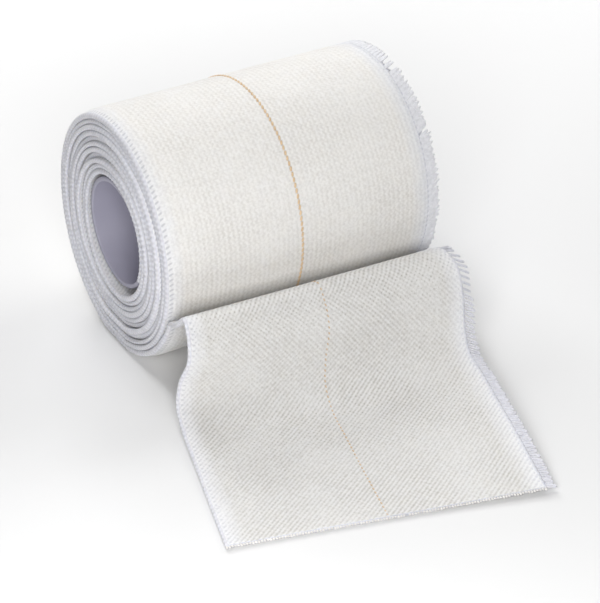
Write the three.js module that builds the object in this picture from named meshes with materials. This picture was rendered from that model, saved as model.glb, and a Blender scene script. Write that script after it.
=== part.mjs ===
// Elastic adhesive bandage: a woven strip wound on a plastic tube, with its free end laid out in front.
// Millimetres, +Z up. X runs along the roll, the free end lies towards -Y, and the origin is on the
// surface that the roll rests on, below the middle of the roll.
import * as THREE from "three";

// The woven strip
const STRIP_WIDTH = 75;
const CLOTH = 1.2; // thickness of the cloth
const TURNS = 11; // turns round the core, up to the line where the free end leaves the roll
const TURN_GAP = 0.2; // air between one turn and the next
const TURN_WANDER = 0.5; // how far the turns stray sideways at the roll's ends
const WANDER_TURNS = 2.3; // turns in one such stray to and fro
const FACETS = 48; // flat steps in one turn

// The core
const CORE_BORE = 26.6; // diameter of the hole
const CORE_WALL = 1.2;
const CORE_RECESS = 1.2; // how far it lies inside each end of the roll
const CORE_FIT = 0.5; // air between the core and the first turn
const CORE_LIP = 0.4; // rounding of its two rims
const CORE_FACETS = 64;

// How the roll has settled
const OVAL = 0.022; // share by which the outer turn is longer one way and shorter the other
const OVAL_TOWARDS = 45; // where on the roll it is longest, in degrees
const LEAN = 0.044; // sideways lean of each turn, towards +X at its top, for each millimetre of height
const FLATTENING = 0.6; // how far the roll's own weight presses its lowest turn flat
const LOOSENING = 0.4; // how far the last turn stands off the roll at the line where it leaves
const LOOSE_FROM = 255; // where on the roll it starts to stand off, in degrees
const LOOSE_OVER = 50; // degrees over which it does so

// The line where the cloth leaves the roll, as an angle on the roll: 180 degrees is its front and 270 its
// lowest line. The left edge lets go higher than the right one.
const LEAVES_AT = { left: 198, middle: 204, right: 209 };
const RISING_STEPS = 6; // facets before it from which the cloth is stepped across its width too

// The free end
const FREE_LENGTH = 92; // from the line where the cloth leaves the roll to the cut end
const FREE_COLUMNS = 8; // steps across it
const FREE_STEPS = 5; // steps along it between two rows of the table

// The free end's folds, a row for each. The first number of a pair is how far the cloth has come forward
// from the line where it leaves the roll, and aside is how far it has turned towards -X, both as shares of
// FREE_LENGTH. The second is the height of the middle of the cloth, as a share of that line's height.
// Narrower is the share by which the strip's edges draw in.
const FOLDS = [
  { fold: "rising", aside: 0.015, narrower: 0, left: [0.074, 1.215], middle: [0.066, 1.305], right: [0.072, 1.396] },
  { fold: "crest", aside: 0.02, narrower: 0, left: [0.128, 1.425], middle: [0.132, 1.516], right: [0.147, 1.639] },
  { fold: "shoulder", aside: 0.018, narrower: 0, left: [0.143, 1.217], middle: [0.16, 1.311], right: [0.204, 1.519] },
  { fold: "fall", aside: 0.027, narrower: 0.006, left: [0.152, 0.92], middle: [0.198, 1.028], right: [0.252, 1.145] },
  { fold: "low fall", aside: 0.048, narrower: 0.019, left: [0.126, 0.571], middle: [0.216, 0.616], right: [0.305, 0.741] },
  { fold: "foot", aside: 0.065, narrower: 0.03, left: [0.135, 0.277], middle: [0.244, 0.298], right: [0.363, 0.5] },
  { fold: "first flat", aside: 0.081, narrower: 0.034, left: [0.193, 0.116], middle: [0.307, 0.073], right: [0.449, 0.436] },
  { fold: "flat", aside: 0.109, narrower: 0.034, left: [0.306, 0.064], middle: [0.422, 0.04], right: [0.557, 0.39] },
  { fold: "last flat", aside: 0.146, narrower: 0.028, left: [0.453, 0.034], middle: [0.57, 0.036], right: [0.701, 0.304] },
  { fold: "cut end", aside: 0.188, narrower: 0.018, left: [0.627, 0.03], middle: [0.746, 0.034], right: [0.873, 0.104] },
];

// Sizes worked out from those above
const degrees = THREE.MathUtils.degToRad;
const PITCH = CLOTH + TURN_GAP;
const STEP = (2 * Math.PI) / FACETS;
const CORE_RADIUS = CORE_BORE / 2 + CORE_WALL;
const FIRST_RADIUS = CORE_RADIUS + CORE_FIT + CLOTH / 2;
const WOUND_STEPS = Math.round(TURNS * FACETS);
const LEAVING = degrees(LEAVES_AT.middle);
const BOTTOM = degrees(270);
const LAST_RADIUS = FIRST_RADIUS + (PITCH * WOUND_STEPS) / FACETS;

// Radius of the middle of the cloth on a true spiral, with the angle counted back from the leaving line.
function spiralRadius(angle) {
  return LAST_RADIUS - (PITCH * (angle - LEAVING)) / (2 * Math.PI);
}

// Share of the wound thickness that lies inside a radius: 0 at the core, 1 at the last turn.
function depthShare(radius) {
  return (radius - FIRST_RADIUS) / (LAST_RADIUS - FIRST_RADIUS);
}

// The spiral made a little oval, in its outer turns twice as much as at the core.
function ovalRadius(angle) {
  const round = spiralRadius(angle);
  const longer = Math.cos(2 * (angle - degrees(OVAL_TOWARDS)));
  return round * (1 + (OVAL * longer * (1 + depthShare(round))) / 2);
}

const AXIS_HEIGHT = ovalRadius(BOTTOM) + CLOTH / 2 - FLATTENING;

// The same with its lowest turn pressed flat on the surface, and the turns above it pressed less and less.
function settledRadius(angle) {
  const oval = ovalRadius(angle);
  const downwards = -Math.sin(angle);
  if (downwards <= 0) return oval;
  const lastAngle = LEAVING + THREE.MathUtils.euclideanModulo(angle - LEAVING, 2 * Math.PI);
  const flat = AXIS_HEIGHT / downwards - CLOTH / 2;
  const pressed = Math.max(0, 1 - flat / ovalRadius(lastAngle));
  return oval * (1 - pressed * depthShare(spiralRadius(angle)));
}

// The same with the end of the last turn, which stands off the roll more and more until it leaves it.
function woundRadius(angle) {
  const loose = THREE.MathUtils.smoothstep(degrees(LOOSE_FROM) - angle, 0, degrees(LOOSE_OVER));
  return settledRadius(angle) + LOOSENING * loose;
}

// A point at an angle and radius on the roll. Angle 0 is the roll's back, and 90 degrees its top.
function onRoll(x, angle, radius) {
  const up = radius * Math.sin(angle);
  return new THREE.Vector3(x + LEAN * up, radius * Math.cos(angle), AXIS_HEIGHT + up);
}

// How far the turn at an angle strays sideways.
function wander(angle) {
  const turnsLeft = (angle - LEAVING) / (2 * Math.PI);
  const fade = Math.min(1, turnsLeft);
  return TURN_WANDER * fade * Math.sin((2 * Math.PI * turnsLeft) / WANDER_TURNS);
}

// Two rows of points, inner and outer face, straight across the strip at an angle of the roll.
function woundRow(angle) {
  const middle = wander(angle);
  const radius = woundRadius(angle);
  const edges = [middle - STRIP_WIDTH / 2, middle + STRIP_WIDTH / 2];
  return {
    inner: edges.map((x) => onRoll(x, angle, radius - CLOTH / 2)),
    outer: edges.map((x) => onRoll(x, angle, radius + CLOTH / 2)),
  };
}

// One lengthwise line of the free end, from its leaving point on the roll to the cut end.
function freeLine(side, across) {
  const angle = degrees(LEAVES_AT[side]);
  const x = (across - 0.5) * STRIP_WIDTH;
  const before = onRoll(x, angle + STEP, woundRadius(angle + STEP));
  const start = onRoll(x, angle, woundRadius(angle));
  const folds = FOLDS.map((row) => {
    const [forward, height] = row[side];
    const turned = start.x * (1 - row.narrower) - row.aside * FREE_LENGTH;
    return new THREE.Vector3(turned, start.y - forward * FREE_LENGTH, height * start.z);
  });
  return new THREE.CatmullRomCurve3([before, start, ...folds], false, "centripetal");
}

// A value at a share of the strip's width, on a smooth curve through its left edge, middle and right edge.
function blend(left, middle, right, share) {
  const ofLeft = (1 - share) * (1 - 2 * share);
  const ofMiddle = 4 * share * (1 - share);
  const ofRight = share * (2 * share - 1);
  return left * ofLeft + middle * ofMiddle + right * ofRight;
}

// The middle surface of the last part of the strip, as rows of points across it. Its first rows lie on the
// roll and turn into the slanting line where the cloth leaves it, and none of it lies below the surface.
function freeSurface() {
  const columns = Array.from({ length: FREE_COLUMNS + 1 }, (_, i) => i / FREE_COLUMNS);
  const rows = [];
  const lastWound = LEAVING + RISING_STEPS * STEP;
  for (let i = 0; i < RISING_STEPS; i++) {
    rows.push(
      columns.map((across) => {
        const leaving = degrees(blend(LEAVES_AT.left, LEAVES_AT.middle, LEAVES_AT.right, across));
        const angle = lastWound + (i / RISING_STEPS) * (leaving - lastWound);
        return onRoll((across - 0.5) * STRIP_WIDTH, angle, woundRadius(angle));
      }),
    );
  }
  const lines = [freeLine("left", 0), freeLine("middle", 0.5), freeLine("right", 1)];
  const steps = (FOLDS.length + 1) * FREE_STEPS;
  for (let i = FREE_STEPS; i <= steps; i++) {
    const [left, middle, right] = lines.map((line) => line.getPoint(i / steps));
    rows.push(
      columns.map((across) => {
        const x = blend(left.x, middle.x, right.x, across);
        const y = blend(left.y, middle.y, right.y, across);
        const z = blend(left.z, middle.z, right.z, across);
        return new THREE.Vector3(x, y, Math.max(z, CLOTH / 2));
      }),
    );
  }
  return rows;
}

// Rows of points on both faces of the cloth, half its thickness to each side of the middle surface.
function freeRows() {
  const surface = freeSurface();
  return surface.map((row, i) => {
    const before = surface[Math.max(0, i - 1)];
    const after = surface[Math.min(surface.length - 1, i + 1)];
    const inner = [];
    const outer = [];
    row.forEach((point, j) => {
      const along = new THREE.Vector3().subVectors(after[j], before[j]);
      const across = new THREE.Vector3().subVectors(
        row[Math.min(row.length - 1, j + 1)],
        row[Math.max(0, j - 1)],
      );
      const away = new THREE.Vector3().crossVectors(across, along).setLength(CLOTH / 2);
      outer.push(point.clone().add(away));
      inner.push(point.clone().sub(away));
    });
    return { inner, outer };
  });
}

// Triangles that join two rows of points, which may hold different numbers of points.
function stitch(triangles, a, b) {
  let i = 0;
  let j = 0;
  while (i < a.length - 1 || j < b.length - 1) {
    const nextA = (i + 1) / (a.length - 1);
    const nextB = (j + 1) / (b.length - 1);
    if (j === b.length - 1 || (i < a.length - 1 && nextA <= nextB)) {
      triangles.push(a[i], b[j], a[i + 1]);
      i += 1;
    } else {
      triangles.push(a[i], b[j], b[j + 1]);
      j += 1;
    }
  }
}

// A closed body from rows of points on its two faces.
function closedStrip(rows) {
  const triangles = [];
  const reversed = (points) => [...points].reverse();
  const firstAndLast = (row) => [
    [row.outer[0], row.inner[0]],
    [row.inner.at(-1), row.outer.at(-1)],
  ];
  for (let i = 0; i + 1 < rows.length; i++) {
    stitch(triangles, reversed(rows[i].outer), reversed(rows[i + 1].outer));
    stitch(triangles, rows[i].inner, rows[i + 1].inner);
    const here = firstAndLast(rows[i]);
    const next = firstAndLast(rows[i + 1]);
    here.forEach((pair, k) => stitch(triangles, pair, next[k]));
  }
  stitch(triangles, rows[0].outer, rows[0].inner);
  stitch(triangles, rows.at(-1).inner, rows.at(-1).outer);
  return new THREE.BufferGeometry().setFromPoints(triangles);
}

// The whole strip: every turn from the core outwards, and then the free end.
function bandageGeometry() {
  const rows = [];
  for (let i = WOUND_STEPS; i > RISING_STEPS; i--) rows.push(woundRow(LEAVING + i * STEP));
  rows.push(...freeRows());
  return closedStrip(rows);
}

// The core: a tube with rounded rims, turned about its own axis and laid along X.
function coreGeometry() {
  const half = STRIP_WIDTH / 2 - CORE_RECESS;
  const inner = CORE_BORE / 2;
  const profile = [
    [inner, -half + CORE_LIP],
    [inner + CORE_LIP, -half],
    [CORE_RADIUS - CORE_LIP, -half],
    [CORE_RADIUS, -half + CORE_LIP],
    [CORE_RADIUS, half - CORE_LIP],
    [CORE_RADIUS - CORE_LIP, half],
    [inner + CORE_LIP, half],
    [inner, half - CORE_LIP],
    [inner, -half + CORE_LIP],
  ].map(([radius, along]) => new THREE.Vector2(radius, along));
  return new THREE.LatheGeometry(profile, CORE_FACETS).rotateZ(Math.PI / 2);
}

const wovenCotton = new THREE.MeshStandardMaterial({ color: 0xf3efe6, roughness: 0.95, metalness: 0 });
const whitePlastic = new THREE.MeshStandardMaterial({ color: 0xe9e9f2, roughness: 0.45, metalness: 0 });

const bandage = new THREE.Mesh(bandageGeometry(), wovenCotton);
bandage.name = "bandage";

const core = new THREE.Mesh(coreGeometry(), whitePlastic);
core.name = "core";
core.position.z = AXIS_HEIGHT;

const roll = new THREE.Group();
roll.add(core, bandage);

export default roll;
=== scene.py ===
# %% [markdown]
# # A woven elastic bandage, wound on its core and laid out
#
# The real thing is one long strip of cloth. It is wound about eleven times round a plastic tube, it leaves
# the roll low on its front, rises into a small arch, and lies flat as far as its cut end. Everything here
# follows from that: one function says where any point of the strip lies, and every piece of cloth, loop and
# thread asks that function for its place.

# %% Load the frame
import math

import bpy
import numpy as np
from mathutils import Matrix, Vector


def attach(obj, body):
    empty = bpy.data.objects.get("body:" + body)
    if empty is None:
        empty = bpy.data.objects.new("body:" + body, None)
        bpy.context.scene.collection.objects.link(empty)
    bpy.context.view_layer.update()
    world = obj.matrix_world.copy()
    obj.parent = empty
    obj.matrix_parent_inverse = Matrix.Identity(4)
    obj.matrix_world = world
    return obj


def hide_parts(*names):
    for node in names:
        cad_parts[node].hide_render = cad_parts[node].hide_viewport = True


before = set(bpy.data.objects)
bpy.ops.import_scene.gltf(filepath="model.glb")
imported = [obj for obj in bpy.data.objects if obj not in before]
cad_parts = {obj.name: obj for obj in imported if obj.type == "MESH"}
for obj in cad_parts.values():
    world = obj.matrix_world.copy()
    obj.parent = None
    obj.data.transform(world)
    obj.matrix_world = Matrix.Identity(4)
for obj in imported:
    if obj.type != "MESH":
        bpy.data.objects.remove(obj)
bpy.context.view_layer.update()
bpy.ops.object.select_all(action="DESELECT")

# %% [markdown]
# ## The camera
#
# The camera comes first, because everything is judged through it. It looks down at the roll's left end from
# the front left. A long lens far away keeps the two ends of the roll almost the same size.

# %% Camera
CAMERA_AT = (-0.21464, -0.38995, 0.28962)
LOOKS_DOWN = 33.228  # degrees below the horizon
LOOKS_RIGHT = 30.716  # degrees from +Y towards +X
LENS = 119.4
SENSOR = 36

camera_data = bpy.data.cameras.new("camera")
camera_data.lens = LENS
camera_data.sensor_width = SENSOR
camera = bpy.data.objects.new("camera", camera_data)
camera.location = CAMERA_AT
camera.rotation_euler = (math.radians(90 - LOOKS_DOWN), 0, math.radians(-LOOKS_RIGHT))
bpy.context.scene.collection.objects.link(camera)
bpy.context.scene.camera = camera

# %% [markdown]
# ## The strip's sizes
#
# These are the sizes of the solid model, in millimetres. The picture's cloth has to lie exactly where the
# solid cloth lies, so it is wound with the same few numbers: a width, a thickness, a number of turns, and a
# short table of the folds of the free end.

# %% Sizes
MM = 0.001
STRIP_WIDTH = 75
CLOTH = 1.2
TURNS = 11
TURN_GAP = 0.2
WANDER_TURNS = 2.3
STEP = 2 * math.pi / 48  # one facet of the solid model, as an angle
CORE_BORE = 26.6
CORE_WALL = 1.2
CORE_RECESS = 1.2
CORE_FIT = 0.5
OVAL = 0.022
OVAL_TOWARDS = 45
LEAN = 0.044
FLATTENING = 0.6
LOOSENING = 0.4
LOOSE_FROM = 255
LOOSE_OVER = 50
LEAVES_AT = {"left": 198, "middle": 204, "right": 209}
RISING = 6 * STEP
FREE_LENGTH = 92

# For each fold: how far it is turned aside and how much narrower it is, then for the left edge, the middle
# and the right edge how far it has come forward and how high it lies. Lengths are shares of the free length,
# and heights are shares of the leaving line's height.
FOLDS = [
    ("rising", 0.015, 0, (0.074, 1.215), (0.066, 1.305), (0.072, 1.396)),
    ("crest", 0.02, 0, (0.128, 1.425), (0.132, 1.516), (0.147, 1.639)),
    ("shoulder", 0.018, 0, (0.143, 1.217), (0.16, 1.311), (0.204, 1.519)),
    ("fall", 0.027, 0.006, (0.152, 0.92), (0.198, 1.028), (0.252, 1.145)),
    ("low fall", 0.048, 0.019, (0.126, 0.571), (0.216, 0.616), (0.305, 0.741)),
    ("foot", 0.065, 0.03, (0.135, 0.277), (0.244, 0.298), (0.363, 0.5)),
    ("first flat", 0.081, 0.034, (0.193, 0.116), (0.307, 0.073), (0.449, 0.436)),
    ("flat", 0.109, 0.034, (0.306, 0.064), (0.422, 0.04), (0.557, 0.39)),
    ("last flat", 0.146, 0.028, (0.453, 0.034), (0.57, 0.036), (0.701, 0.304)),
    ("cut end", 0.188, 0.018, (0.627, 0.03), (0.746, 0.034), (0.873, 0.104)),
]

PITCH = CLOTH + TURN_GAP
CORE_RADIUS = CORE_BORE / 2 + CORE_WALL
FIRST_RADIUS = CORE_RADIUS + CORE_FIT + CLOTH / 2
LAST_RADIUS = FIRST_RADIUS + PITCH * TURNS
LEAVING = math.radians(LEAVES_AT["middle"])
BOTTOM = math.radians(270)
INNER_END = LEAVING + TURNS * 2 * math.pi

# %% [markdown]
# ## Where the roll lies
#
# A wound strip is a spiral: its radius grows by one thickness of cloth with each turn. A real roll is never
# quite round, so the spiral is made a little oval, its lowest turn is pressed flat, and its last turn stands
# off the roll before it leaves. The angle is counted back along the strip, from the line where it leaves.

# %% The roll's spiral
def smooth(x):
    x = np.clip(x, 0, 1)
    return x * x * (3 - 2 * x)


def spiral_radius(angle):
    return LAST_RADIUS - PITCH * (angle - LEAVING) / (2 * math.pi)


def depth_share(radius):
    return (radius - FIRST_RADIUS) / (LAST_RADIUS - FIRST_RADIUS)


def oval_radius(angle):
    plain = spiral_radius(angle)
    longer = np.cos(2 * (angle - math.radians(OVAL_TOWARDS)))
    return plain * (1 + OVAL * longer * (1 + depth_share(plain)) / 2)


AXIS_HEIGHT = float(oval_radius(BOTTOM)) + CLOTH / 2 - FLATTENING


def wound_radius(angle):
    radius = oval_radius(angle)
    downwards = np.maximum(-np.sin(angle), 1e-6)
    last_angle = LEAVING + np.mod(angle - LEAVING, 2 * math.pi)
    flat = AXIS_HEIGHT / downwards - CLOTH / 2
    pressed = np.maximum(0, 1 - flat / oval_radius(last_angle))
    loose = smooth((math.radians(LOOSE_FROM) - angle) / math.radians(LOOSE_OVER))
    return radius * (1 - pressed * depth_share(spiral_radius(angle))) + LOOSENING * loose


def on_roll(x, angle, radius):
    up = radius * np.sin(angle)
    return np.stack([x + LEAN * up, radius * np.cos(angle), AXIS_HEIGHT + up], axis=-1)


print("roll: axis", round(AXIS_HEIGHT, 2), "mm up, last turn's radius", round(LAST_RADIUS, 2), "mm")

# %% [markdown]
# The turns of a real roll also stray sideways. Where a turn stays back, its neighbours shade it, and the end
# of the roll shows a dark groove. Three slow waves along the strip are enough to make the grooves uneven.
# The first one comes back every one and a half turns, so it opens a groove beside every second turn.

# %% The turns' stagger
STAGGER = [(0.4, 0.67, 0.4), (0.3, 1 / WANDER_TURNS, 0.0), (0.14, 1.71, 2.6)]  # mm, waves in a turn, phase
STAGGER_FROM = 0.35  # turns back from the leaving line


def stagger(angle):
    turns_left = (angle - LEAVING) / (2 * math.pi)
    fade = np.clip(turns_left - STAGGER_FROM, 0, 1)
    waves = sum(size * np.sin(2 * math.pi * rate * turns_left + phase) for size, rate, phase in STAGGER)
    return fade * waves


# %% [markdown]
# ## Where the free end lies
#
# Three lengthwise lines carry the free end: its left edge, its middle and its right edge. Each is a smooth
# curve through the table's folds. Any other line is blended from these three, as a parabola through them.

# %% The free end's three lines
POINTS_IN_A_SPAN = 60


def smooth_curve(points):
    """A centripetal Catmull-Rom curve through the points, as a dense row of points."""
    points = np.vstack([2 * points[0] - points[1], points, 2 * points[-1] - points[-2]])
    share = np.linspace(0, 1, POINTS_IN_A_SPAN, endpoint=False)[:, None]
    rows = []
    for a, b, c, d in zip(points, points[1:], points[2:], points[3:]):
        ab, bc, cd = (math.sqrt(np.linalg.norm(q - p)) for p, q in ((a, b), (b, c), (c, d)))
        leave = ((b - a) / ab - (c - a) / (ab + bc) + (c - b) / bc) * bc
        arrive = ((c - b) / bc - (d - b) / (bc + cd) + (d - c) / cd) * bc
        rows.append(
            (2 * share**3 - 3 * share**2 + 1) * b
            + (share**3 - 2 * share**2 + share) * leave
            + (3 * share**2 - 2 * share**3) * c
            + (share**3 - share**2) * arrive
        )
    return np.vstack([*rows, points[-2]])


def free_line(side, across):
    angle = math.radians(LEAVES_AT[side])
    x = (across - 0.5) * STRIP_WIDTH
    before = on_roll(x, angle + STEP, wound_radius(angle + STEP))
    start = on_roll(x, angle, wound_radius(angle))
    column = {"left": 3, "middle": 4, "right": 5}[side]
    folds = []
    for row in FOLDS:
        aside, narrower = row[1:3]
        forward, height = row[column]
        turned = start[0] * (1 - narrower) - aside * FREE_LENGTH
        folds.append((turned, start[1] - forward * FREE_LENGTH, height * start[2]))
    return smooth_curve(np.vstack([before, start, folds]))[POINTS_IN_A_SPAN:]


lines = {side: free_line(side, across) for side, across in (("left", 0), ("middle", 0.5), ("right", 1))}
steps = np.linalg.norm(np.diff(lines["middle"], axis=0), axis=1)
from_leaving = np.concatenate([[0], np.cumsum(steps)])
FREE_RUN = float(from_leaving[-1])
print("free end:", round(FREE_RUN, 1), "mm from the leaving line to the cut end")

# %% [markdown]
# ## One function for the whole strip
#
# A point of the strip has two numbers, as on a tape measure: its place across the width, from 0 to 1, and
# its distance back from the cut end. `middle_surface` turns the two numbers into a point in space, on the
# roll or on the free end. `strip_frame` adds three directions there: across, along towards the cut end, and
# out of the face that looks away from the roll.

# %% The strip in space
ROLL_STEPS = 6000
LAST_ON_ROLL = LEAVING + RISING  # from here to the leaving line the cloth turns into its slant
SETTLING = 0.1  # square mm: how softly the low parts of the free end come to rest
SPAN_ACROSS, SPAN_BACK = 0.004, 0.25  # a share of the width, and mm: how far apart a direction is taken

roll_angles = np.linspace(LAST_ON_ROLL, INNER_END, ROLL_STEPS)
roll_steps = (wound_radius(roll_angles[1:]) + wound_radius(roll_angles[:-1])) / 2 * np.diff(roll_angles)
RISING_RUN = RISING * float(wound_radius(LAST_ON_ROLL))
roll_back = FREE_RUN + RISING_RUN + np.concatenate([[0], np.cumsum(roll_steps)])
STRIP_LENGTH = float(roll_back[-1])


def blend(left, middle, right, across):
    of_left = (1 - across) * (1 - 2 * across)
    of_middle = 4 * across * (1 - across)
    of_right = across * (2 * across - 1)
    return left * of_left + middle * of_middle + right * of_right


def roll_angle(across, back):
    leaving = np.radians(blend(LEAVES_AT["left"], LEAVES_AT["middle"], LEAVES_AT["right"], across))
    share = np.clip((FREE_RUN + RISING_RUN - back) / RISING_RUN, 0, 1)
    slanting = LAST_ON_ROLL + share * (leaving - LAST_ON_ROLL)
    return np.where(share > 0, slanting, np.interp(back, roll_back, roll_angles))


def middle_surface(across, back):
    across, back = np.broadcast_arrays(np.asarray(across, float), np.asarray(back, float))
    angle = roll_angle(across, back)
    x = (across - 0.5) * STRIP_WIDTH + stagger(angle)
    wound = on_roll(x, angle, wound_radius(angle))
    run = np.clip(FREE_RUN - back, 0, FREE_RUN)
    free = []
    for axis in range(3):
        sides = [np.interp(run, from_leaving, lines[side][:, axis]) for side in ("left", "middle", "right")]
        free.append(blend(*sides, across))
    above = free[2] - CLOTH / 2
    free[2] = CLOTH / 2 + (above + np.sqrt(above**2 + SETTLING)) / 2
    return np.where((back > FREE_RUN)[..., None], wound, np.stack(free, axis=-1))


def unit(vectors):
    return vectors / np.linalg.norm(vectors, axis=-1, keepdims=True)


def strip_frame(across, back):
    """Point, across, along and outward directions at places on the strip."""
    here = middle_surface(across, back)
    sideways = middle_surface(across + SPAN_ACROSS, back) - middle_surface(across - SPAN_ACROSS, back)
    forward = middle_surface(across, back - SPAN_BACK) - middle_surface(across, back + SPAN_BACK)
    outward = unit(np.cross(sideways, forward))
    sideways = unit(sideways)
    return here, sideways, np.cross(outward, sideways), outward


BOTTOM_BACK = float(np.interp(BOTTOM, roll_angles, roll_back))
TURN_BACK = float(np.interp(BOTTOM + 2 * math.pi, roll_angles, roll_back))
print("strip:", round(STRIP_LENGTH), "mm of cloth in all")

# %% [markdown]
# ## The weave
#
# The cloth is woven in ribs that run along the strip, about 56 of them side by side, and a crossing thread
# comes at every grain. A woven relief is a sum of a few waves: one across the ribs, and some that run
# slantwise, over one rib for each grain. On the outer face the slanting waves push each rib to and fro, so
# that it zigzags. The face that lies on the skin has no ribs, only slanting lines with small pinholes. They
# slant one way where the cloth lies flat, and the other way shows where its fall pulls it.
#
# The grid of the mesh has three steps to a grain, so that it carries these waves as real shape. The UV map
# counts ribs and grains, so that a material can draw the same waves and what is finer.

# %% The weave as relief
RIBS = 56
RIB = STRIP_WIDTH / RIBS
GRAIN = 1.36
STEPS_IN_A_GRAIN = 3
OUTER_DEPTH = 0.14
INNER_DEPTH = 0.2
# Ribs and grains that a wave crosses, its size, and where it starts, in turns
RIB_WAVES = [(1, 0, 2.3, 0.0), (1, -1, 1.3, 0.0), (1, 1, 1.2, 0.433), (0, 2, 0.6, 0.436)]
PULL_STARTS = (47, 60)  # mm back from the cut end, where the other slant takes over and where it has
PULL_ENDS = (67, 76)
TWILL_LINE, TWILL_OTHER = (1, 0.15), (0.13, 0.55)  # sizes of the inner face's two slants, unpulled and pulled
TWILL_FULL = 2 * (TWILL_LINE[0] + TWILL_OTHER[0])


def rib_height(ribs, grains):
    """Height of the outer face, from about 0 in its valleys to 1."""
    total = 0
    for across, along, size, start in RIB_WAVES:
        total = total + size * np.cos(2 * math.pi * (across * (ribs - 0.5) + along * grains + start))
    return 0.5 + total / (2 * sum(wave[2] for wave in RIB_WAVES))


def twill_height(ribs, grains):
    """Height of the inner face: slanting lines, lower where four threads leave a hole."""
    back = grains * GRAIN
    pulled = smooth((back - PULL_STARTS[0]) / (PULL_STARTS[1] - PULL_STARTS[0]))
    pulled = pulled * smooth((PULL_ENDS[1] - back) / (PULL_ENDS[1] - PULL_ENDS[0]))
    line = np.interp(pulled, (0, 1), TWILL_LINE) * np.cos(2 * math.pi * (ribs - grains))
    other = np.interp(pulled, (0, 1), TWILL_OTHER) * np.cos(2 * math.pi * (ribs + grains))
    return 0.5 + (line + other) / TWILL_FULL


# %% [markdown]
# ## From places on the strip to a mesh
#
# Each stretch of cloth is a closed body. Its cross-section is a flat loop: over the outer face from left to
# right, round the right edge, back over the inner face, and round the left edge. The loop is repeated for
# each step along the strip, and two faces close its ends.

# %% Mesh helpers
def add_piece(name, points, faces, materials, face_materials=None, uvs=None):
    """An object from points in millimetres, with smooth shading and a UV map that counts grains."""
    mesh = bpy.data.meshes.new(name)
    mesh.from_pydata((points * MM).tolist(), [], faces)
    for material in materials:
        mesh.materials.append(material)
    mesh.polygons.foreach_set("use_smooth", np.ones(len(mesh.polygons), dtype=bool))
    if face_materials is not None:
        mesh.polygons.foreach_set("material_index", np.asarray(face_materials, dtype=np.int32))
    if uvs is not None:
        layer = mesh.uv_layers.new(name="weave")
        corners = np.empty(len(mesh.loops), dtype=np.int32)
        mesh.loops.foreach_get("vertex_index", corners)
        layer.data.foreach_set("uv", np.asarray(uvs, dtype=np.float32)[corners].ravel())
    mesh.validate()
    mesh.update()
    piece = bpy.data.objects.new(name, mesh)
    bpy.context.scene.collection.objects.link(piece)
    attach(piece, "root")
    print(name, len(mesh.vertices), "points,", sum(len(p.vertices) - 2 for p in mesh.polygons), "triangles")
    return piece


def ring_faces(rows, columns):
    """Quads of a tube whose rings of points follow each other, and its two end faces."""
    ring = np.arange(columns)
    row = np.arange(rows - 1)[:, None] * columns
    following = (ring + 1) % columns
    quads = np.stack([row + ring, row + following, row + columns + following, row + columns + ring], axis=-1)
    last = (rows - 1) * columns
    return [*quads.reshape(-1, 4).tolist(), ring[::-1].tolist(), (last + ring).tolist()]


# %% Cross-sections of the cloth
EDGE = 0.7  # how far in from the strip's edge the cloth starts to round over
EDGE_TURN = (72, 48, 24, 0, -24, -48, -72)  # degrees round the edge at which the section has a point
EDGE_BUMP = 0.13  # how far each knot of the edge stands out
WOUND_OVER = 8  # mm from the leaving line over which the wound left edge gets its swell and its droop
EDGE_SWELL = (0.12, 0.1)  # how much fuller that edge is, and by how much that varies from turn to turn
SWELL_WAVES = (0.29, 1)  # waves in a turn, and where the first one starts, in radians
SWELL_ENDS, SWELL_OVER = 2.2, 1.8  # mm in from the edge where the swell ends, and over which it does so
EDGE_DROOP = (0.35, 0.5)  # how far it bends in towards the core, and how much more it does in the last turn
DROOP_OVER = 3.2  # mm in from the edge


def face_places(steps_in_a_rib):
    """Places across a face, from edge to edge."""
    inside = np.arange(1, RIBS * steps_in_a_rib) * RIB / steps_in_a_rib
    inside = inside[(inside > EDGE * 1.2) & (inside < STRIP_WIDTH - EDGE * 1.2)]
    return np.concatenate([[EDGE], inside, [STRIP_WIDTH - EDGE]])


def section(outer_places, inner_places):
    """A loop of points as rows of place across, height from the middle (in half thicknesses), and face."""
    loop = [(x, 1, 1) for x in outer_places]
    for angle in EDGE_TURN:
        a = math.radians(angle)
        loop.append((STRIP_WIDTH - EDGE + EDGE * math.cos(a), math.sin(a), 0))
    loop += [(x, -1, -1) for x in inner_places[::-1]]
    for angle in EDGE_TURN[::-1]:
        a = math.radians(angle)
        loop.append((EDGE - EDGE * math.cos(a), math.sin(a), 0))
    return np.array(loop)


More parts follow.
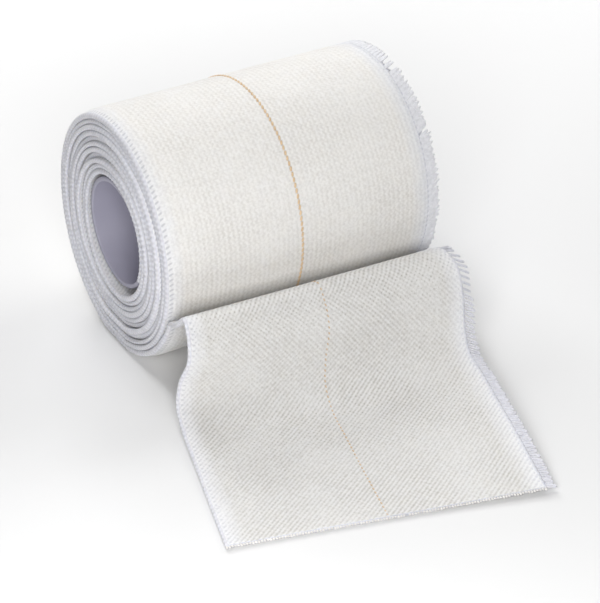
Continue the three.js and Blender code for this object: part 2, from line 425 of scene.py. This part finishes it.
def cloth(name, backs, loop, materials):
    """A stretch of the strip from the first to the last distance back, as one closed body."""
    place, height, face = loop.T
    across = place / STRIP_WIDTH
    back = np.asarray(backs)[:, None]
    here, sideways, along, outward = strip_frame(across[None, :], back)
    ribs = place / RIB
    grains = back / GRAIN
    sunk = np.where(face == 1, OUTER_DEPTH * (1 - rib_height(ribs, grains)), 0)
    sunk = np.where(face == -1, INNER_DEPTH * (1 - twill_height(ribs, grains)), sunk)
    angle = roll_angle(0.5, back)
    turns_left = (angle - LEAVING) / (2 * math.pi)
    swell = EDGE_SWELL[0] + EDGE_SWELL[1] * np.sin(2 * math.pi * SWELL_WAVES[0] * turns_left + SWELL_WAVES[1])
    wound = np.clip((back - FREE_RUN) / WOUND_OVER, 0, 1)
    fuller = swell * smooth((SWELL_ENDS - place) / SWELL_OVER) * wound
    rows_of_knots = 2 * np.abs(height) * np.sqrt(1 - height**2)
    knotted = np.cos(2 * math.pi * (grains + 0.25 * np.sign(height))) * rows_of_knots
    knots = np.where(face == 0, EDGE_BUMP * knotted * np.sign(across - 0.5), 0)
    droop = (EDGE_DROOP[0] + EDGE_DROOP[1] * depth_share(spiral_radius(angle))) * wound
    droop = droop * smooth((DROOP_OVER - place) / DROOP_OVER)
    offset = height * (CLOTH / 2 + fuller - sunk) - droop
    points = here + outward * offset[..., None] + sideways * knots[..., None]
    columns = len(place)
    faces = ring_faces(len(backs), columns)
    of_face = {1: 0, -1: 1, 0: 2}
    by_column = [of_face[int(min(face[j], face[(j + 1) % columns], key=abs))] for j in range(columns)]
    face_materials = by_column * (len(backs) - 1) + [2, 2]
    uvs = np.stack(np.broadcast_arrays(ribs, grains), axis=-1).reshape(-1, 2)
    piece = add_piece(name, points.reshape(-1, 3), faces, materials, face_materials, uvs)
    rounding = piece.data.attributes.new("rounding", "FLOAT", "POINT")
    rounding.data.foreach_set("value", np.tile(height, len(backs)).astype(np.float32))
    return piece


# %% [markdown]
# ## Materials
#
# All cloth here is the same cream cotton. What differs is the weave that shows: ribs on the outer face,
# diagonal lines and pinholes on the inner one, and a whiter, bluish yarn along both edges. So there is one
# recipe for a woven face, which reads the grain-counting UV map and is given a pattern. The pattern darkens
# the valleys a little, as painted shade, and drives a bump for the finer shape, and a fibre noise breaks up
# both. The pinholes are painted dark, as the shade in them. Thin cloth also lets some light through, so every
# cloth material scatters a share of its light inside.

# %% Node helpers
def new_material(name):
    material = bpy.data.materials.new(name)
    material.use_nodes = True
    tree = material.node_tree
    return material, tree, tree.nodes["Principled BSDF"]


def plug(tree, socket, value):
    """Sets a socket to a number or a colour, or links it to another socket."""
    if isinstance(value, bpy.types.NodeSocket):
        tree.links.new(value, socket)
    else:
        socket.default_value = value


def calc(tree, operation, a, b=0.0, c=0.0):
    node = tree.nodes.new("ShaderNodeMath")
    node.operation = operation
    for socket, value in zip(node.inputs, (a, b, c)):
        plug(tree, socket, value)
    return node.outputs[0]


def noise(tree, vector, scale, detail=3.0, roughness=0.55):
    node = tree.nodes.new("ShaderNodeTexNoise")
    plug(tree, node.inputs["Vector"], vector)
    plug(tree, node.inputs["Scale"], scale)
    plug(tree, node.inputs["Detail"], detail)
    plug(tree, node.inputs["Roughness"], roughness)
    return node.outputs["Fac"]


def remap(tree, value, low, high, to_low=0.0, to_high=1.0):
    node = tree.nodes.new("ShaderNodeMapRange")
    for socket, number in zip(node.inputs, (value, low, high, to_low, to_high)):
        plug(tree, socket, number)
    return node.outputs[0]


def mix(tree, share, a, b):
    node = tree.nodes.new("ShaderNodeMix")
    node.data_type = "RGBA"
    plug(tree, node.inputs[0], share)
    plug(tree, node.inputs[6], a)
    plug(tree, node.inputs[7], b)
    return node.outputs[2]


def bump(tree, height, distance, strength=1.0, normal=None):
    node = tree.nodes.new("ShaderNodeBump")
    node.inputs["Distance"].default_value = distance
    node.inputs["Strength"].default_value = strength
    plug(tree, node.inputs["Height"], height)
    if normal is not None:
        plug(tree, node.inputs["Normal"], normal)
    return node.outputs["Normal"]


def coordinates(tree, output):
    return tree.nodes.new("ShaderNodeTexCoord").outputs[output]


def grain_places(tree):
    """The rib and the grain that a point of the cloth lies on, from the UV map."""
    node = tree.nodes.new("ShaderNodeSeparateXYZ")
    plug(tree, node.inputs[0], coordinates(tree, "UV"))
    return node.outputs[0], node.outputs[1]


# %% Colours
CREAM = (0.86, 0.84, 0.81, 1)
CREAM_VALLEY = (0.58, 0.55, 0.51, 1)
PALE = (0.735, 0.728, 0.715, 1)
PALE_VALLEY = (0.42, 0.40, 0.37, 1)
WHITE = (0.82, 0.82, 0.83, 1)
# The white edge yarn painted lighter, as if more lit, for the last turn's loops
LIT_WHITE = (0.89, 0.89, 0.92, 1)
WHITE_VALLEY = (0.58, 0.58, 0.61, 1)
# The white edge yarn painted darker and bluish, as painted shade, for the roll's ends and the free end's loops
BLUE_SHADED_WHITE = (0.74, 0.74, 0.79, 1)
BLUE_SHADED_WHITE_VALLEY = (0.46, 0.46, 0.50, 1)
TAN = (0.76, 0.56, 0.36, 1)
TAN_VALLEY = (0.56, 0.36, 0.20, 1)
FAINT_TAN = (0.66, 0.50, 0.33, 1)
CLOTH_ROUGHNESS = 0.95
SELVEDGE_RIBS = (0.8, 4)  # ribs in from each edge, where the whiter yarn is alone and where it has faded out
TICKS_AT = 1.0  # ribs in from the left edge, where its stitches pierce the cloth


def finish_cloth(shader, sheen, through):
    """The dull surface that all the cloth has. Some of the light goes through it."""
    shader.inputs["Roughness"].default_value = CLOTH_ROUGHNESS
    shader.inputs["Sheen Weight"].default_value = sheen
    shader.inputs["Sheen Roughness"].default_value = 0.5
    shader.inputs["Subsurface Weight"].default_value = through
    shader.inputs["Subsurface Radius"].default_value = (1.0, 0.9, 0.75)
    shader.inputs["Subsurface Scale"].default_value = 0.002


# %% The two woven faces
def ticks(tree, ribs, grains):
    """1 in a column of small slanting marks along the left edge, one for each grain."""
    slanting = calc(tree, "MULTIPLY_ADD", ribs, 0.35, grains)
    marks = remap(tree, calc(tree, "COSINE", calc(tree, "MULTIPLY", slanting, 2 * math.pi)), 0.1, 0.9)
    off_column = calc(tree, "ABSOLUTE", calc(tree, "SUBTRACT", ribs, TICKS_AT))
    return calc(tree, "MULTIPLY", marks, remap(tree, off_column, 0.55, 0.2))


def slant_wave(tree, ribs, grains, across, along, size, start):
    """One wave of the weave, as a node chain."""
    turns = calc(tree, "MULTIPLY_ADD", ribs, across, start - across / 2)
    turns = calc(tree, "MULTIPLY_ADD", grains, along, turns)
    return calc(tree, "MULTIPLY", calc(tree, "COSINE", calc(tree, "MULTIPLY", turns, 2 * math.pi)), size)


def rib_pattern(tree, ribs, grains):
    full = 2 * sum(wave[2] for wave in RIB_WAVES)
    total = 0.5
    for across, along, size, start in RIB_WAVES:
        total = calc(tree, "ADD", slant_wave(tree, ribs, grains, across, along, size / full, start), total)
    return total


def twill_pattern(tree, ribs, grains):
    back = calc(tree, "MULTIPLY", grains, GRAIN)
    pulled = calc(tree, "MULTIPLY", remap(tree, back, *PULL_STARTS), remap(tree, back, *PULL_ENDS, 1.0, 0.0))
    line = slant_wave(tree, ribs, grains, 1, -1, -1 / TWILL_FULL, 0)
    other = slant_wave(tree, ribs, grains, 1, 1, -1 / TWILL_FULL, 0)
    line = calc(tree, "MULTIPLY", line, remap(tree, pulled, 0, 1, *TWILL_LINE))
    other = calc(tree, "MULTIPLY_ADD", other, remap(tree, pulled, 0, 1, *TWILL_OTHER), 0.5)
    return calc(tree, "ADD", line, other)


# mm back, for each bend: its holes start to open and are open, then are closed and still open
CREST_BEND = ((62, 68), (92, 84))
FOOT_BEND = ((22, 32), (48, 40))


def pinholes(tree, ribs, grains):
    """How much painted shade darkens the inner face's holes. They lie between its lines and gape over the
    bends.
    """
    first = slant_wave(tree, ribs, grains, 1, -1, -1.0, 0.5)
    second = slant_wave(tree, ribs, grains, 1, 1, -1.0, 0.5)
    both = calc(tree, "ADD", first, second)
    back = calc(tree, "MULTIPLY", grains, GRAIN)
    crest, foot = (
        calc(tree, "MULTIPLY", remap(tree, back, *starts), remap(tree, back, *ends))
        for starts, ends in (CREST_BEND, FOOT_BEND)
    )
    gaping = calc(tree, "MULTIPLY_ADD", calc(tree, "MAXIMUM", crest, foot), 0.4, 0.2)
    return calc(tree, "MULTIPLY", remap(tree, both, 1.1, 1.9), gaping)


def woven(name, pattern, bright, valley, depth_of_colour, depth_of_ticks, holes=None):
    material, tree, shader = new_material(name)
    ribs, grains = grain_places(tree)
    fibres = noise(tree, coordinates(tree, "Object"), 2200, 3.0, 0.6)
    tufts = noise(tree, coordinates(tree, "Object"), 1100, 2.0, 0.6)
    patches = noise(tree, coordinates(tree, "Object"), 60, 2.0, 0.5)
    height = pattern(tree, ribs, grains)
    # Darker where the weave is low: painted shade in its valleys
    depth = calc(tree, "MULTIPLY", calc(tree, "SUBTRACT", 1.0, height), depth_of_colour)
    depth = calc(tree, "MULTIPLY", depth, remap(tree, patches, 0.35, 0.65, 0.7, 1.3))
    depth = calc(tree, "ADD", depth, remap(tree, fibres, 0.3, 0.7, -0.1, 0.1))
    depth = calc(tree, "ADD", depth, remap(tree, tufts, 0.3, 0.7, -0.16, 0.16))
    if holes is not None:
        # Painted shade in the pinholes, where some are open
        open_ones = remap(tree, noise(tree, coordinates(tree, "Object"), 800, 1.0, 0.5), 0.35, 0.65)
        dark = calc(tree, "MULTIPLY", holes(tree, ribs, grains), open_ones)
        depth = calc(tree, "ADD", depth, dark)
    from_edge = calc(tree, "MINIMUM", ribs, calc(tree, "SUBTRACT", RIBS, ribs))
    depth = calc(tree, "ADD", depth, calc(tree, "MULTIPLY", ticks(tree, ribs, grains), depth_of_ticks))
    edge = remap(tree, from_edge, SELVEDGE_RIBS[1], SELVEDGE_RIBS[0])
    top = mix(tree, edge, bright, WHITE)
    low = mix(tree, edge, valley, WHITE_VALLEY)
    plug(tree, shader.inputs["Base Color"], mix(tree, depth, top, low))
    finish_cloth(shader, 0.15, 0.4)
    weave = bump(tree, height, 0.00008, 0.5)
    plug(tree, shader.inputs["Normal"], bump(tree, calc(tree, "ADD", fibres, tufts), 0.00006, 0.5, weave))
    return material


outer_weave = woven("outer_weave", rib_pattern, CREAM, CREAM_VALLEY, 0.42, 0.9)
inner_weave = woven("inner_weave", twill_pattern, PALE, PALE_VALLEY, 0.5, 0.35, pinholes)


# %% The strip's edge
def edge_material():
    """The knotted edge: two rows of small bumps round it, half a grain apart, and a hollow between them. Its
    colour is the white edge yarn in painted bluish shade, darker between the knots.
    """
    material, tree, shader = new_material("shaded_edge_weave")
    grains = grain_places(tree)[1]
    rounding = tree.nodes.new("ShaderNodeAttribute")
    rounding.attribute_name = "rounding"
    height = rounding.outputs["Fac"]
    row = calc(tree, "MULTIPLY_ADD", calc(tree, "SIGN", height), 0.25, grains)
    bumps = calc(tree, "COSINE", calc(tree, "MULTIPLY", row, 2 * math.pi))
    from_row = calc(tree, "SUBTRACT", calc(tree, "ABSOLUTE", height), 0.55)
    on_row = remap(tree, calc(tree, "ABSOLUTE", from_row), 0.6, 0.1)
    knots = calc(tree, "MULTIPLY", bumps, on_row)
    place = coordinates(tree, "Object")
    fibres = noise(tree, place, 2600, 3.0, 0.6)
    tufts = noise(tree, place, 500, 2.0, 0.5)
    # Darker between the knots: painted shade
    depth = calc(tree, "MULTIPLY_ADD", knots, -0.22, 0.26)
    depth = calc(tree, "ADD", depth, remap(tree, fibres, 0.3, 0.7, -0.06, 0.06))
    depth = calc(tree, "ADD", depth, remap(tree, tufts, 0.3, 0.7, -0.12, 0.12))
    plug(tree, shader.inputs["Base Color"], mix(tree, depth, BLUE_SHADED_WHITE, BLUE_SHADED_WHITE_VALLEY))
    finish_cloth(shader, 0.1, 0.4)
    knotted = bump(tree, knots, 0.0001, 0.6)
    plug(tree, shader.inputs["Normal"], bump(tree, fibres, 0.00004, 0.4, knotted))
    return material


shaded_edge_weave = edge_material()


# %% The yarns
def yarn(name, bright, valley, clump_scale):
    """Yarn that is unevenly bright, from its fine fibres and from coarser clumps of them."""
    material, tree, shader = new_material(name)
    place = coordinates(tree, "Object")
    fibres = noise(tree, place, 3200, 4.0, 0.65)
    clumps = noise(tree, place, clump_scale, 2.0, 0.5)
    depth = remap(tree, calc(tree, "ADD", fibres, clumps), 0.8, 1.3, 0.0, 0.5)
    plug(tree, shader.inputs["Base Color"], mix(tree, depth, bright, valley))
    finish_cloth(shader, 0.2, 0.2)
    plug(tree, shader.inputs["Normal"], bump(tree, fibres, 0.00005, 0.5))
    return material


# The edge yarn of the loops, in painted bluish shade
shaded_selvedge_yarn = yarn("shaded_selvedge_yarn", BLUE_SHADED_WHITE, BLUE_SHADED_WHITE_VALLEY, 900)
# The last turn's loops, painted lighter as if more lit
lit_white_yarn = yarn("lit_white_yarn", LIT_WHITE, WHITE_VALLEY, 900)
cream_yarn = yarn("cream_yarn", CREAM, CREAM_VALLEY, 900)
thread_yarn = yarn("thread_yarn", TAN, TAN_VALLEY, 1200)
faint_yarn = yarn("faint_yarn", FAINT_TAN, TAN, 900)

# %% [markdown]
# ## The cloth, in three stretches
#
# One mesh for the whole strip would need far too many faces, and most of them would never be seen. Only the
# last turn and the free end show a woven face, so they get the fine grid. The turns inside the roll show
# nothing but their edges, so their grid is fine there and has nothing in between. The stretches meet under
# the roll, where it rests.

# %% The last turn
FINE = GRAIN / STEPS_IN_A_GRAIN


def backs_between(start, end, step):
    return np.linspace(start, end, int(round((end - start) / step)) + 1)


def edges_only(*places):
    """Places near both edges, and nothing in between."""
    places = np.array(places)
    return np.concatenate([places, STRIP_WIDTH - places[::-1]])


fine_face = face_places(STEPS_IN_A_GRAIN)
cloth_materials = [outer_weave, inner_weave, shaded_edge_weave]

outer_turn = cloth(
    "outer_turn",
    backs_between(BOTTOM_BACK, TURN_BACK, FINE),
    section(fine_face, edges_only(EDGE, 6)),
    cloth_materials,
)

# %% The free end
free_end = cloth(
    "free_end",
    backs_between(0, BOTTOM_BACK, FINE),
    section(face_places(STEPS_IN_A_GRAIN / 2), fine_face),
    cloth_materials,
)

# %% The wound turns
wound_turns = cloth(
    "wound_turns",
    backs_between(TURN_BACK, STRIP_LENGTH, FINE),
    section(edges_only(EDGE, 1.2, 1.9), edges_only(EDGE, 1.3)),
    cloth_materials,
)

# %% [markdown]
# ## Loops and threads
#
# Everything small on the strip is a short piece of yarn: the loops of crossing yarn that stand out of the
# right edge, the coloured thread along the middle, and the cut yarns at the end. Each is one bent tube, made
# once and set at many places. Its own three coordinates are across, along and outward, so it follows the
# cloth wherever that goes.

# %% A bent tube, and many copies of it
ASIDE = (0.13, 0.21, 0.97)  # a direction that no path here takes
LOWEST = 0.02  # mm above the surface that everything lies on


def bent_tube(path, radius, sides, taper=0.0):
    """Points and faces of a closed tube along a path, thinner by taper at its two ends."""
    path = np.asarray(path, float)
    ahead = unit(np.gradient(path, axis=0))
    side = unit(np.cross(ahead, ASIDE))
    top = np.cross(ahead, side)
    turn = 2 * math.pi * np.arange(sides) / sides
    along = np.linspace(-1, 1, len(path))
    thick = radius * (1 - taper * along**6)
    ring = side[:, None] * np.cos(turn)[:, None] + top[:, None] * np.sin(turn)[:, None]
    points = path[:, None] + ring * thick[:, None, None]
    return points.reshape(-1, 3), ring_faces(len(path), sides)


def a_number_each(value, count):
    """A column with a number for each copy, from one number or from a row of them."""
    return np.broadcast_to(value, count)[:, None]


def set_along(name, tube, across, backs, material, outward_shift=0.0, stretch=1.0, longer=1.0, sweep=0.0):
    """Copies of a tube at places on the strip, each in its own frame there.

    Stretch lengthens what stands out to the right, longer what lies along, and sweep turns the tube along.
    """
    shape, faces = tube
    count = max(np.size(across), np.size(backs))
    across, backs = (np.broadcast_to(value, count).astype(float) for value in (across, backs))
    here, sideways, along, outward = strip_frame(across, backs)
    a = shape[None, :, 0] * np.where(shape[None, :, 0] > 0, a_number_each(stretch, count), 1)
    b = shape[None, :, 1] * a_number_each(longer, count) + a * a_number_each(sweep, count)
    c = shape[None, :, 2] + a_number_each(outward_shift, count)
    points = here[:, None] + a[..., None] * sideways[:, None] + b[..., None] * along[:, None]
    points = points + c[..., None] * outward[:, None]
    points[..., 2] = np.maximum(points[..., 2], LOWEST)
    all_faces = [[i + k * len(shape) for i in face] for k in range(count) for face in faces]
    return add_piece(name, points.reshape(-1, 3), all_faces, [material])


def waver(backs, size, *waves):
    """Small uneven amounts along the strip, from a few waves: the same at every run."""
    backs = np.asarray(backs, float)
    return size * sum(np.sin(backs * rate + phase) for rate, phase in waves) / len(waves)


grain_backs = np.arange(0.5, STRIP_LENGTH / GRAIN) * GRAIN
shown_backs = grain_backs[grain_backs < TURN_BACK]
hidden_backs = grain_backs[grain_backs >= TURN_BACK]

# %% [markdown]
# The crossing yarn turns back at each edge of a woven strip. At the right edge it stands out as loops. On the
# last turn they are close and painted lighter, as if more lit, level with its face, and swept upwards. At the
# crest they are pulled out to single fingers, and on the free end they lie side by side; these two are painted
# in bluish shade. A few are missing, as on any handled roll.

# %% Loops along the right edge
def loop_path(half, reach, ends):
    """A hairpin of yarn that comes out of the edge, turns back at its reach, and goes in again.

    The two numbers of ends say how far its ends inside the cloth lie above the rest of it.
    """
    there = [
        (-1.3, -half, 1),
        (-0.6, -half, 0.5),
        (0.2, -half, 0),
        (0.6 * reach, -half, 0),
        (0.88 * reach, -0.85 * half, 0),
        (reach, -0.35 * half, 0),
    ]
    out = [(x, y, ends[0] * z) for x, y, z in there]
    return out + [(x, -y, ends[1] * z) for x, y, z in there[::-1]]


FINGERS_FROM, FINGERS_TO = 64, 77  # mm back: here the loops are pulled out thin, as single fingers
MISSING_LOOPS = (225.6, 228.3, 247.6)  # mm back: here the last turn has lost a few
MISSING_TO = 0.6  # mm to each side of such a place
FALL_SWEEP = ((20, 50), (80, 95))  # mm back: where the free end's stronger sweep sets in, and where it fades


def loop_stretch(backs):
    return 1 + waver(backs, 0.14, (2.1, 0.3), (0.63, 1.9), (5.3, 0.7))


def loop_sweep(backs):
    """The loops slant towards the cut end, most on the free end's fall and on the roll."""
    backs = np.asarray(backs)
    (start, full), (fading, end) = FALL_SWEEP
    on_fall = smooth((backs - start) / (full - start)) * smooth((end - backs) / (end - fading))
    on_roll_too = smooth((backs - FREE_RUN) / 20)
    return 0.25 + 0.45 * on_fall + 0.2 * on_roll_too + waver(backs, 0.1, (3.7, 0.2), (1.3, 2.2))


def right_loops(
    name, backs, half, reach, radius, ends, material=shaded_selvedge_yarn, outward_shift=0.0, further=0.0
):
    """Loops along the right edge. Further is the share of their reach by which some stand out more."""
    return set_along(
        name, bent_tube(loop_path(half, reach, ends), radius, sides=6), 1.0, backs, material, outward_shift,
        stretch=loop_stretch(backs) + further, sweep=loop_sweep(backs),
    )


pulled_out = (shown_backs > FINGERS_FROM) & (shown_backs < FINGERS_TO)
on_free_end = shown_backs < FREE_RUN
last_turn_backs = np.arange(math.ceil(2 * FREE_RUN / GRAIN), 2 * TURN_BACK / GRAIN) * GRAIN / 2
from_missing = np.abs(last_turn_backs[:, None] - np.array(MISSING_LOOPS)).min(axis=1)
last_turn_backs = last_turn_backs[from_missing > MISSING_TO]
every_other = np.cos(2 * math.pi * last_turn_backs / GRAIN)  # 1 and -1 by turns
weft_fingers = right_loops(
    "weft_fingers", shown_backs[pulled_out], half=0.07, reach=2.0, radius=0.33, ends=(0.25, -0.25)
)
weft_loops = right_loops(
    "weft_loops", shown_backs[on_free_end & ~pulled_out], half=0.36, reach=2.1, radius=0.28, ends=(0.25, -0.37)
)
last_turn_loops = right_loops(
    "last_turn_loops", last_turn_backs, half=0.17, reach=2.6, radius=0.24, ends=(-0.1, -0.1),
    material=lit_white_yarn, outward_shift=CLOTH / 2 - 0.22 + 0.04 * every_other, further=0.07 * every_other,
)
inner_weft_loops = right_loops(
    "inner_weft_loops", hidden_backs, half=0.33, reach=1.5, radius=0.3, ends=(0.25, -0.25)
)

# %% The coloured centre thread
DASH_PATH = [
    (-0.14, -0.5, -0.26),
    (-0.11, -0.36, 0),
    (-0.04, -0.12, 0.08),
    (0.04, 0.12, 0.08),
    (0.11, 0.36, 0),
    (0.14, 0.5, -0.26),
]
SPECK_PATH = [(-0.12, -0.3, 0.16), (-0.08, -0.2, 0), (0, 0, -0.06), (0.08, 0.2, 0), (0.12, 0.3, 0.16)]
MIDDLE = 0.5

centre_thread = set_along(
    "centre_thread", bent_tube(DASH_PATH, radius=0.3, sides=7, taper=0.4), MIDDLE, shown_backs, thread_yarn,
    outward_shift=CLOTH / 2 - 0.1,
)
speck_backs = shown_backs[shown_backs < FREE_RUN + 5]  # no more of the inner face can be seen
centre_thread_inside = set_along(
    "centre_thread_inside", bent_tube(SPECK_PATH, radius=0.17, sides=6, taper=0.4), MIDDLE, speck_backs,
    faint_yarn,
    outward_shift=-CLOTH / 2 + 0.1 + waver(speck_backs, 0.13, (0.9, 0.4), (0.31, 1.7)),
)

# %% The cut yarns
STUB_PATH = [(0, -0.8, 0), (0, 0, 0), (0.02, 0.25, 0), (0.03, 0.4, -0.04)]
STUBS = 2 * RIBS
cut_yarns = set_along(
    "cut_yarns", bent_tube(STUB_PATH, radius=0.3, sides=7, taper=0.35), (np.arange(STUBS) + 0.5) / STUBS, 0,
    cream_yarn,
    longer=1 + waver(np.arange(STUBS), 0.6, (2.9, 0.4), (1.37, 1.1), (5.1, 2.0)),
)

# %% [markdown]
# ## The core
#
# The core is a plain moulded tube. A cylinder without ends is given a wall, and its rims are softened. Its
# colour is painted shade: its white plastic is darkened to the bluish grey that it shows inside the roll.

# %% The core tube
# Painted shade: the core's white plastic, darkened and made bluish as it looks inside the roll
SHADED_PLASTIC = (0.335, 0.325, 0.405, 1)
PALER_SHADED_PLASTIC = (0.365, 0.355, 0.44, 1)

shaded_core_plastic, tree, shader = new_material("shaded_core_plastic")
cloudy = noise(tree, coordinates(tree, "Object"), 60, 2.0, 0.5)
plug(tree, shader.inputs["Base Color"], mix(tree, cloudy, SHADED_PLASTIC, PALER_SHADED_PLASTIC))
shader.inputs["Roughness"].default_value = 0.45
grain = noise(tree, coordinates(tree, "Object"), 900, 2.0, 0.5)
plug(tree, shader.inputs["Normal"], bump(tree, grain, 0.00003, 0.4))

CORE_HALF = STRIP_WIDTH / 2 - CORE_RECESS
CORE_LIP = 0.35
bpy.ops.mesh.primitive_cylinder_add(
    vertices=128,
    radius=CORE_RADIUS * MM,
    depth=2 * CORE_HALF * MM,
    end_fill_type="NOTHING",
    location=(0, 0, AXIS_HEIGHT * MM),
    rotation=(0, math.pi / 2, 0),
)
core_tube = bpy.context.object
core_tube.name = "core_tube"
bpy.ops.object.transform_apply(location=True, rotation=True, scale=True)
wall = core_tube.modifiers.new("wall", "SOLIDIFY")
wall.thickness = CORE_WALL * MM
wall.offset = -1
bpy.ops.object.modifier_apply(modifier="wall")
rims = core_tube.modifiers.new("rims", "BEVEL")
rims.width = CORE_LIP * MM
rims.segments = 3
rims.limit_method = "ANGLE"
bpy.ops.object.modifier_apply(modifier="rims")
bpy.ops.object.shade_smooth_by_angle(angle=math.radians(40))
core_tube.data.materials.append(shaded_core_plastic)
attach(core_tube, "root")
print("core_tube", len(core_tube.data.polygons), "faces")

# %% [markdown]
# ## Hiding the solid parts
#
# The solid strip is hidden, and the three stretches of cloth stand for it. The solid core is hidden as well.

# %% Hiding the solid parts
for piece in (outer_turn, free_end, wound_turns):
    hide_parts("bandage")
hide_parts("core")

# %% [markdown]
# ## Floor and light
#
# White cloth on a white floor is shown by its shade alone, so the light is a mix. A large soft light overhead
# gives the shadow under the arch its edge. A small one near the front left makes the cloth brighter there and
# lets it fade to the right, as near lights do, and a far one beside it fills the shadows. Two more, behind
# the roll and to its right, are for the floor, so that it stays nearly white away from the roll's shadow.

# %% The floor
floor_material, tree, shader = new_material("floor_white")
shader.inputs["Base Color"].default_value = (0.79, 0.79, 0.79, 1)
shader.inputs["Roughness"].default_value = 0.9
bpy.ops.mesh.primitive_plane_add(size=8, location=(0, 0, 0))
floor = bpy.context.object
floor.name = "floor"
floor.data.materials.append(floor_material)

# %% Lights
SKY_STRENGTH = 0.05
world = bpy.data.worlds.new("sky")
world.use_nodes = True
world.node_tree.nodes["Background"].inputs["Color"].default_value = (1, 1, 1, 1)
world.node_tree.nodes["Background"].inputs["Strength"].default_value = SKY_STRENGTH
bpy.context.scene.world = world


def area_light(name, place, aim, size, power):
    data = bpy.data.lights.new(name, "AREA")
    data.size = size
    data.energy = power
    light = bpy.data.objects.new(name, data)
    light.location = place
    light.rotation_euler = (Vector(aim) - Vector(place)).to_track_quat("-Z", "Y").to_euler()
    bpy.context.scene.collection.objects.link(light)
    return light


area_light("overhead_light", (-0.05, 0.12, 0.8), (0, -0.03, 0), 0.35, 1.8)
area_light("near_light", (-0.15, -0.25, 0.15), (0, -0.03, 0.02), 0.12, 0.55)
area_light("front_light", (-0.5, -0.7, 0.5), (0, -0.03, 0.02), 0.5, 1.2)
area_light("back_light", (0.05, 0.55, 0.4), (0.05, 0.35, 0), 0.4, 3.3)
area_light("side_light", (0.4, 0.05, 0.35), (0.25, 0, 0), 0.3, 0.9)
bpy.context.scene.view_settings.view_transform = "Standard"
